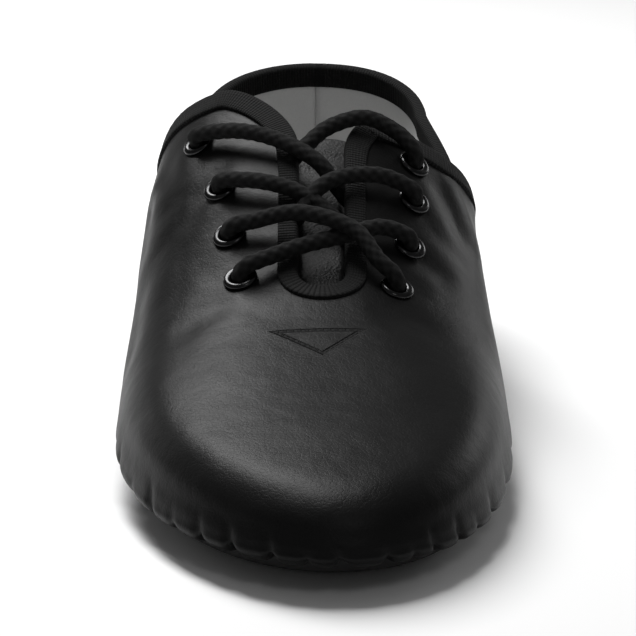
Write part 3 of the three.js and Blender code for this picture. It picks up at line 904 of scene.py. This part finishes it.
class JAZZ_OT_tongue(ShoeOperator, bpy.types.Operator):
    """The padded tongue, sunk into the empty shoe at its free end"""

    bl_idname = "jazz.tongue"
    bl_label = "Tongue"

    def execute(self, context):
        rows, columns = 90, 70
        clearance = UPPER_WALL + 1.1 + FIT_GAP

        def place(i, j):
            v = j / rows
            share = TONGUE_TOP_SHARE + (TONGUE_ROOT_SHARE - TONGUE_TOP_SHARE) * v
            free = max((TONGUE_FLAT_SHARE - share) / (TONGUE_FLAT_SHARE - TONGUE_TOP_SHARE), 0)
            width = TONGUE_HALF_WIDTH * (1 - TONGUE_ROOT_NARROWING * (1 - free))
            u = 2 * i / columns - 1
            corner = smooth(0.06, 0.0, v) * abs(u) ** 3 * 3.5
            point, normal = place_on_top(share + corner / SHOE_LENGTH, spine_at(share) + width * u)
            beside = smooth(4.5, 9, abs(width * u)) * smooth(0.41, 0.45, share)
            beside *= smooth(0.675, 0.65, share)
            bar = smooth(0.625, 0.635, share) * smooth(0.675, 0.655, share)
            pressed = TONGUE_PRESSED * max(beside, bar)
            wave = 0.35 * sin(share * 200 + u * 2.1) * free * smooth(0.0, 0.1, v)
            wave += 0.35 * sin(u * 5 + share * 60)
            crumple = 0.5 * bell(share, 0.463, 0.006) - 0.6 * bell(share, 0.432 + 0.01 * u, 0.005)
            point = point - normal * (clearance + 0.6 + wave + pressed + crumple)
            return point - Vector((0, 0, TONGUE_SAG * free**TONGUE_SAG_ROUNDING))

        builder = bmesh.new()
        mapped_grid(builder, columns, rows, place)
        bmesh.ops.recalc_face_normals(builder, faces=builder.faces)
        builder.normal_update()
        if sum(face.normal.z for face in builder.faces) < 0:
            bmesh.ops.reverse_faces(builder, faces=builder.faces)
        piece = to_object(
            "tongue_pad", builder, [material("tongue", tongue_material)], ("tongue",))
        thicken(piece, TONGUE_THICKNESS)
        return {"FINISHED"}


def underside_point(side, station, across, rise):
    """A place under the foot, from the spine out to where the leather has risen."""
    _, _, _, _, share = section_at(side, station)
    _, widest, under = levels_at(round(share, 7))
    across_power, down_power = rounding_at(side, share, True)
    reach = (1 - (1 - rise / (widest - under)) ** down_power) ** (1 / across_power)
    return face_point(side, station, angle_across(side, station, reach * across, True))


def underside_sheet(builder, start, stop, columns, rows, rise, raise_by):
    for side in (1, -1):
        def place(i, j, side=side):
            station = start + (stop - start) * i / columns
            point = underside_point(side, station, j / rows, rise)
            point.z += raise_by
            return point

        mapped_grid(builder, columns, rows, place)
    bmesh.ops.remove_doubles(builder, verts=builder.verts, dist=0.01)
    bmesh.ops.recalc_face_normals(builder, faces=builder.faces)


def slab_between(builder, level):
    """Extrudes an open sheet and moves the new face to the level that each place gives."""
    sheet = list(builder.faces)
    made = bmesh.ops.extrude_face_region(builder, geom=sheet)
    for element in made["geom"]:
        if isinstance(element, bmesh.types.BMVert):
            element.co.z = level(element.co)
    bmesh.ops.recalc_face_normals(builder, faces=builder.faces)


def soften_edges(piece, width):
    edge = piece.modifiers.new("Edge", "BEVEL")
    edge.width = width * MM
    edge.segments = 3
    edge.limit_method = "ANGLE"
    edge.angle_limit = radians(50)


class JAZZ_OT_soles(ShoeOperator, bpy.types.Operator):
    """The two pads of the split sole"""

    bl_idname = "jazz.soles"
    bl_label = "Split sole"

    def execute(self, context):
        builder = bmesh.new()
        underside_sheet(builder, station_of(FOREPAD_BACK_SHARE), 3, 110, 14, 2, -FIT_GAP)
        slab_between(builder, lambda co: max(0, co.z - FOREPAD_THICKNESS - FIT_GAP))
        pad = to_object(
            "forefoot_pad", builder, [material("rubber", rubber_material)],
            ("outsole_forefoot",))
        soften_edges(pad, 0.5)
        builder = bmesh.new()
        underside_sheet(builder, 0, station_of(HEEL_PAD_FRONT_SHARE), 70, 12, 3, -2 * FIT_GAP)
        slab_between(builder, lambda co: 0)
        heel = to_object(
            "heel_pad", builder, [material("rubber", rubber_material)], ("outsole_heel",))
        soften_edges(heel, 0.9)
        return {"FINISHED"}


class JAZZ_OT_insole(ShoeOperator, bpy.types.Operator):
    """The sock liner inside the shoe"""

    bl_idname = "jazz.insole"
    bl_label = "Insole"

    def execute(self, context):
        builder = bmesh.new()
        underside_sheet(builder, 0, 3, 150, 12, 1.6, UPPER_WALL + INSOLE_CLEARANCE)
        slab_between(builder, lambda co: co.z + INSOLE_THICKNESS)
        piece = to_object(
            "sock_liner", builder, [material("lining", lining_material)], ("insole",))
        soften_edges(piece, 0.5)
        return {"FINISHED"}


def eyelet_profile():
    """Half section of the rolled ring, from the barrel's foot round the flange and back."""
    middle, half = (RING_BORE + RING_OUTER) / 2, (RING_OUTER - RING_BORE) / 2
    points = [(RING_BORE, -UPPER_WALL - 0.5), (RING_BORE, 0.55)]
    for k in range(1, 10):
        a = pi * k / 9
        points.append((middle - half * cos(a), 0.50 + 0.75 * sin(a)))
    points += [(RING_OUTER, 0.25), (EYELET_HOLE, 0.2), (EYELET_HOLE, -UPPER_WALL - 0.5)]
    return points


class JAZZ_OT_eyelets(ShoeOperator, bpy.types.Operator):
    """The eight rolled metal eyelets"""

    bl_idname = "jazz.eyelets"
    bl_label = "Eyelets"

    def execute(self, context):
        for row, side, share, across in EYELETS:
            builder = bmesh.new()
            points = eyelet_profile()
            verts = [builder.verts.new((x, 0, z)) for x, z in points]
            edges = [builder.edges.new((a, b)) for a, b in zip(verts, verts[1:] + verts[:1])]
            bmesh.ops.spin(
                builder, geom=verts + edges, cent=(0, 0, 0), axis=(0, 0, 1), angle=2 * pi,
                steps=40, use_merge=True,
            )
            bmesh.ops.remove_doubles(builder, verts=builder.verts, dist=0.001)
            bmesh.ops.recalc_face_normals(builder, faces=builder.faces)
            matrix = eyelet_matrix(side, share, across)
            bmesh.ops.transform(builder, matrix=matrix, verts=builder.verts)
            place = f"{side_name(side)}_{row}"
            to_object(
                "ring_" + place, builder, [material("metal", metal_material)],
                ("eyelet_" + place,),
            )
        return {"FINISHED"}


# The lace as one cord, from its hidden end at the outer top eyelet to the inner one: the
# eyelets it passes and, between them, places on its way as share of the length,
# millimetres across and height of its axis over the leather's outer face
LACING = (
    ("outer", 1),
    ((0.440, -18.0, 3.9), (0.462, -9.0, 3.8), (0.488, 0.0, 3.0), (0.505, 5.0, -0.6), (0.508, 9.5, -4.2),
     (0.500, 16.5, -4.2)),
    ("inner", 2),
    ((0.496, 14.4, 3.8), (0.508, 6.4, 3.7), (0.524, 0.5, 3.4), (0.546, -4.4, 0.0), (0.552, -9.5, -4.2),
     (0.552, -14.0, -4.2)),
    ("outer", 3),
    ((0.556, -14.5, 3.7), (0.562, -3.6, 6.3), (0.580, 7.6, 6.6), (0.606, 13.5, 4.6)),
    ("inner", 4),
    ((0.632, 12.0, -4.2), (0.645, 0.0, -4.4), (0.628, -12.0, -4.2)),
    ("outer", 4),
    ((0.606, -12.6, 3.7), (0.592, -3.6, 3.4), (0.578, 6.0, 3.3), (0.560, 14.0, 3.7)),
    ("inner", 3),
    ((0.556, 15.5, -4.2), (0.556, 9.5, -4.2), (0.550, 5.4, -0.6), (0.540, 1.5, 1.6), (0.524, -5.0, 3.2),
     (0.510, -13.0, 3.8)),
    ("outer", 2),
    ((0.486, -16.0, -4.2), (0.480, -10.5, -4.2), (0.474, -6.0, -0.6), (0.462, -3.0, 0.6), (0.438, 3.0, 1.8),
     (0.424, 11.0, 3.7), (0.428, 18.0, 3.9)),
    ("inner", 1),
)


def eyelet_frame(side_word, row):
    """The middle of an eyelet's hole and the way out of the shoe there."""
    for eyelet_row, side, share, across in EYELETS:
        if eyelet_row == row and side_name(side) == side_word:
            matrix = eyelet_matrix(side, share, across)
            return matrix.translation, matrix.to_3x3() @ Vector((0, 0, 1))
    raise ValueError(f"no eyelet {side_word} {row}")


def through_eyelet(side_word, row, outside, inside):
    """The cord's way through an eyelet, from over the ring to under the leather."""
    centre, normal = eyelet_frame(side_word, row)

    def leaning(height, place, reach):
        if place is None:
            return centre + normal * height
        point = place_on_top(place[0], place[1])[0]
        flat = point - centre
        flat -= normal * flat.dot(normal)
        return centre + normal * height + flat.normalized() * reach

    end = -5.5 if inside is None else -3.6
    return [
        leaning(3.3, outside, 2.6),
        leaning(1.6, outside, 0.3),
        leaning(-1.2, inside, 0.2),
        leaning(end, inside, 1.6),
    ]


def lacing_points():
    """All the points that the lace follows."""
    points = []
    for k, part in enumerate(LACING):
        if k % 2:
            for share, x, height in part:
                point, normal = place_on_top(share, x)
                points.append(point + normal * height)
            continue
        before = LACING[k - 1][-1] if k else None
        after = LACING[k + 1][0] if k + 1 < len(LACING) else None
        entering = before is not None and before[2] > 0
        outside, inside = (before, after) if entering else (after, before)
        way = through_eyelet(*part, outside, inside)
        points += way if entering else way[::-1]
    return points


def smooth_path(points, step):
    """A rounded line through the points, with even short steps."""
    fine = []
    padded = [points[0] * 2 - points[1]] + points + [points[-1] * 2 - points[-2]]
    for a, b, c, d in zip(padded, padded[1:], padded[2:], padded[3:]):
        parts = max(int((c - b).length / step), 1)
        for k in range(parts):
            u = k / parts
            bend = (2 * a - 5 * b + 4 * c - d) * u**2 + (3 * b - a - 3 * c + d) * u**3
            fine.append(0.5 * (2 * b + (c - a) * u + bend))
    return fine + [points[-1]]


def tube(builder, path, radius, around, run_layer):
    """A round cord along a path, with its length in millimetres kept for the braid."""
    directions = []
    for i in range(len(path)):
        directions.append((path[min(i + 1, len(path) - 1)] - path[max(i - 1, 0)]).normalized())
    up = directions[0].orthogonal().normalized()
    rings = []
    length = 0.0
    for i, point in enumerate(path):
        up = (up - directions[i] * up.dot(directions[i])).normalized()
        across = directions[i].cross(up)
        if i:
            length += (point - path[i - 1]).length
        ring = []
        for k in range(around + 1):
            a = 2 * pi * (k % around) / around
            wave = sin(2 * pi * length / BRAID_PITCH) * sin(BRAID_STRANDS * a)
            size = radius + BRAID_RELIEF * wave
            ring.append(point + up * (size * cos(a)) + across * (size * sin(a)))
        rings.append((ring, length))
    lengths = {}

    def place(i, j):
        ring, run = rings[i]
        lengths[tuple(ring[j])] = run
        return ring[j]

    made = mapped_grid(builder, len(path) - 1, around, place)
    for vert in made:
        vert[run_layer] = lengths[tuple(vert.co)]
    bmesh.ops.remove_doubles(builder, verts=made, dist=0.001)
    ends = [edge for edge in builder.edges if edge.is_boundary]
    bmesh.ops.holes_fill(builder, edges=ends, sides=around)


class JAZZ_OT_laces(ShoeOperator, bpy.types.Operator):
    """The braided cord laced through the eyelets"""

    bl_idname = "jazz.laces"
    bl_label = "Laces"

    def execute(self, context):
        builder = bmesh.new()
        run_layer = builder.verts.layers.float.new("run")
        path = smooth_path(lacing_points(), LACE_STEP)
        tube(builder, path, LACE_RADIUS - 0.05, 30, run_layer)
        bmesh.ops.recalc_face_normals(builder, faces=builder.faces)
        to_object(
            "lace", builder, [material("cord", cord_material)],
            ("lace_cross_low", "lace_cross_middle", "lace_cross_top"),
        )
        return {"FINISHED"}


class JAZZ_OT_stage(ShoeOperator, bpy.types.Operator):
    """Floor, soft lights and the camera at the photographed angle"""

    bl_idname = "jazz.stage"
    bl_label = "Stage"

    elevation: bpy.props.FloatProperty(
        name="Elevation", description="Height of the view over the floor", default=radians(16),
        subtype="ANGLE")
    distance: bpy.props.FloatProperty(
        name="Distance", description="Camera to the shoe's middle", default=0.8, unit="LENGTH")

    def execute(self, context):
        self.add_floor(context.scene.jazz_shoe)
        self.add_lights()
        self.add_camera()
        context.scene.view_settings.view_transform = "Standard"
        return {"FINISHED"}

    def add_floor(self, settings):
        nodes = Nodes("pale_floor")
        cloud = nodes.noise(nodes.coordinates(), 0.004, 2, 0.5)
        base = nodes.mix(cloud, grey(settings.floor_grey), grey(settings.floor_grey * 0.97))
        paper = nodes.finish(Base_Color=base, Roughness=0.7)
        builder = bmesh.new()
        bmesh.ops.create_grid(builder, x_segments=1, y_segments=1, size=4)
        mesh = bpy.data.meshes.new("floor")
        builder.to_mesh(mesh)
        builder.free()
        mesh.materials.append(paper)
        floor = bpy.data.objects.new("floor", mesh)
        bpy.context.scene.collection.objects.link(floor)
        world = bpy.data.worlds.new("studio")
        bpy.context.scene.world = world
        world.use_nodes = True
        background = world.node_tree.nodes["Background"]
        background.inputs["Color"].default_value = (1, 1, 1, 1)
        background.inputs["Strength"].default_value = 0.16

    def add_lights(self):
        target = Vector((0, -0.1, 0.03))
        lamps = (
            ("overhead_left", (-0.19, 0.22, 0.80), 0.28, 0.80, 11),
            ("back_left", (-1.0, 1.1, 0.30), 0.3, 0.5, 0.8),
            ("back_right", (0.95, 0.95, 0.40), 0.5, 0.5, 2.2),
            ("front", (0.35, -1.3, 1.2), 0.3, 0.3, 1.5),
        )
        for name, spot, width, height, power in lamps:
            data = bpy.data.lights.new(name, "AREA")
            data.shape = "RECTANGLE"
            data.size = width
            data.size_y = height
            data.energy = power
            lamp = bpy.data.objects.new(name, data)
            lamp.location = spot
            lamp.rotation_euler = (target - Vector(spot)).to_track_quat("-Z", "Y").to_euler()
            bpy.context.scene.collection.objects.link(lamp)

    def add_camera(self):
        image_size = 636
        pixels_a_metre = 4080
        middle_pixel = (316, 327)
        target = Vector((0, (HEEL_RADIUS - SHOE_LENGTH / 2) * MM, 25 * MM))
        data = bpy.data.cameras.new("camera")
        data.sensor_fit = "HORIZONTAL"
        data.sensor_width = 36
        data.lens = data.sensor_width * pixels_a_metre * self.distance / image_size
        data.shift_x = (image_size / 2 - middle_pixel[0]) / image_size
        data.shift_y = (middle_pixel[1] - image_size / 2) / image_size
        data.clip_end = 20
        camera = bpy.data.objects.new("camera", data)
        back = Vector((0, -cos(self.elevation), sin(self.elevation)))
        camera.location = target + back * self.distance
        camera.rotation_euler = (-back).to_track_quat("-Z", "Y").to_euler()
        bpy.context.scene.collection.objects.link(camera)
        bpy.context.scene.camera = camera


OPERATORS = (
    JAZZ_OT_stage,
    JAZZ_OT_upper,
    JAZZ_OT_binding,
    JAZZ_OT_tongue,
    JAZZ_OT_insole,
    JAZZ_OT_soles,
    JAZZ_OT_eyelets,
    JAZZ_OT_laces,
)


class JAZZ_PT_panel(bpy.types.Panel):
    """Lists the shoe's pieces in the sidebar."""

    bl_idname = "JAZZ_PT_panel"
    bl_label = "Jazz shoe"
    bl_space_type = "VIEW_3D"
    bl_region_type = "UI"
    bl_category = "Jazz shoe"

    def draw(self, context):
        settings = context.scene.jazz_shoe
        for name in settings.bl_rna.properties.keys():
            if name not in {"rna_type", "name"}:
                self.layout.prop(settings, name)
        for operator in OPERATORS:
            self.layout.operator(operator.bl_idname)


CLASSES = (ShoeSettings, *OPERATORS, JAZZ_PT_panel)


def register():
    for item in CLASSES:
        bpy.utils.register_class(item)
    bpy.types.Scene.jazz_shoe = bpy.props.PointerProperty(type=ShoeSettings)


def unregister():
    del bpy.types.Scene.jazz_shoe
    for item in reversed(CLASSES):
        bpy.utils.unregister_class(item)


def main():
    register()
    bpy.ops.jazz.stage()
    bpy.ops.jazz.upper()
    bpy.ops.jazz.binding()
    bpy.ops.jazz.tongue()
    bpy.ops.jazz.insole()
    bpy.ops.jazz.soles()
    bpy.ops.jazz.eyelets()
    bpy.ops.jazz.laces()


if __name__ == "__main__":
    main()
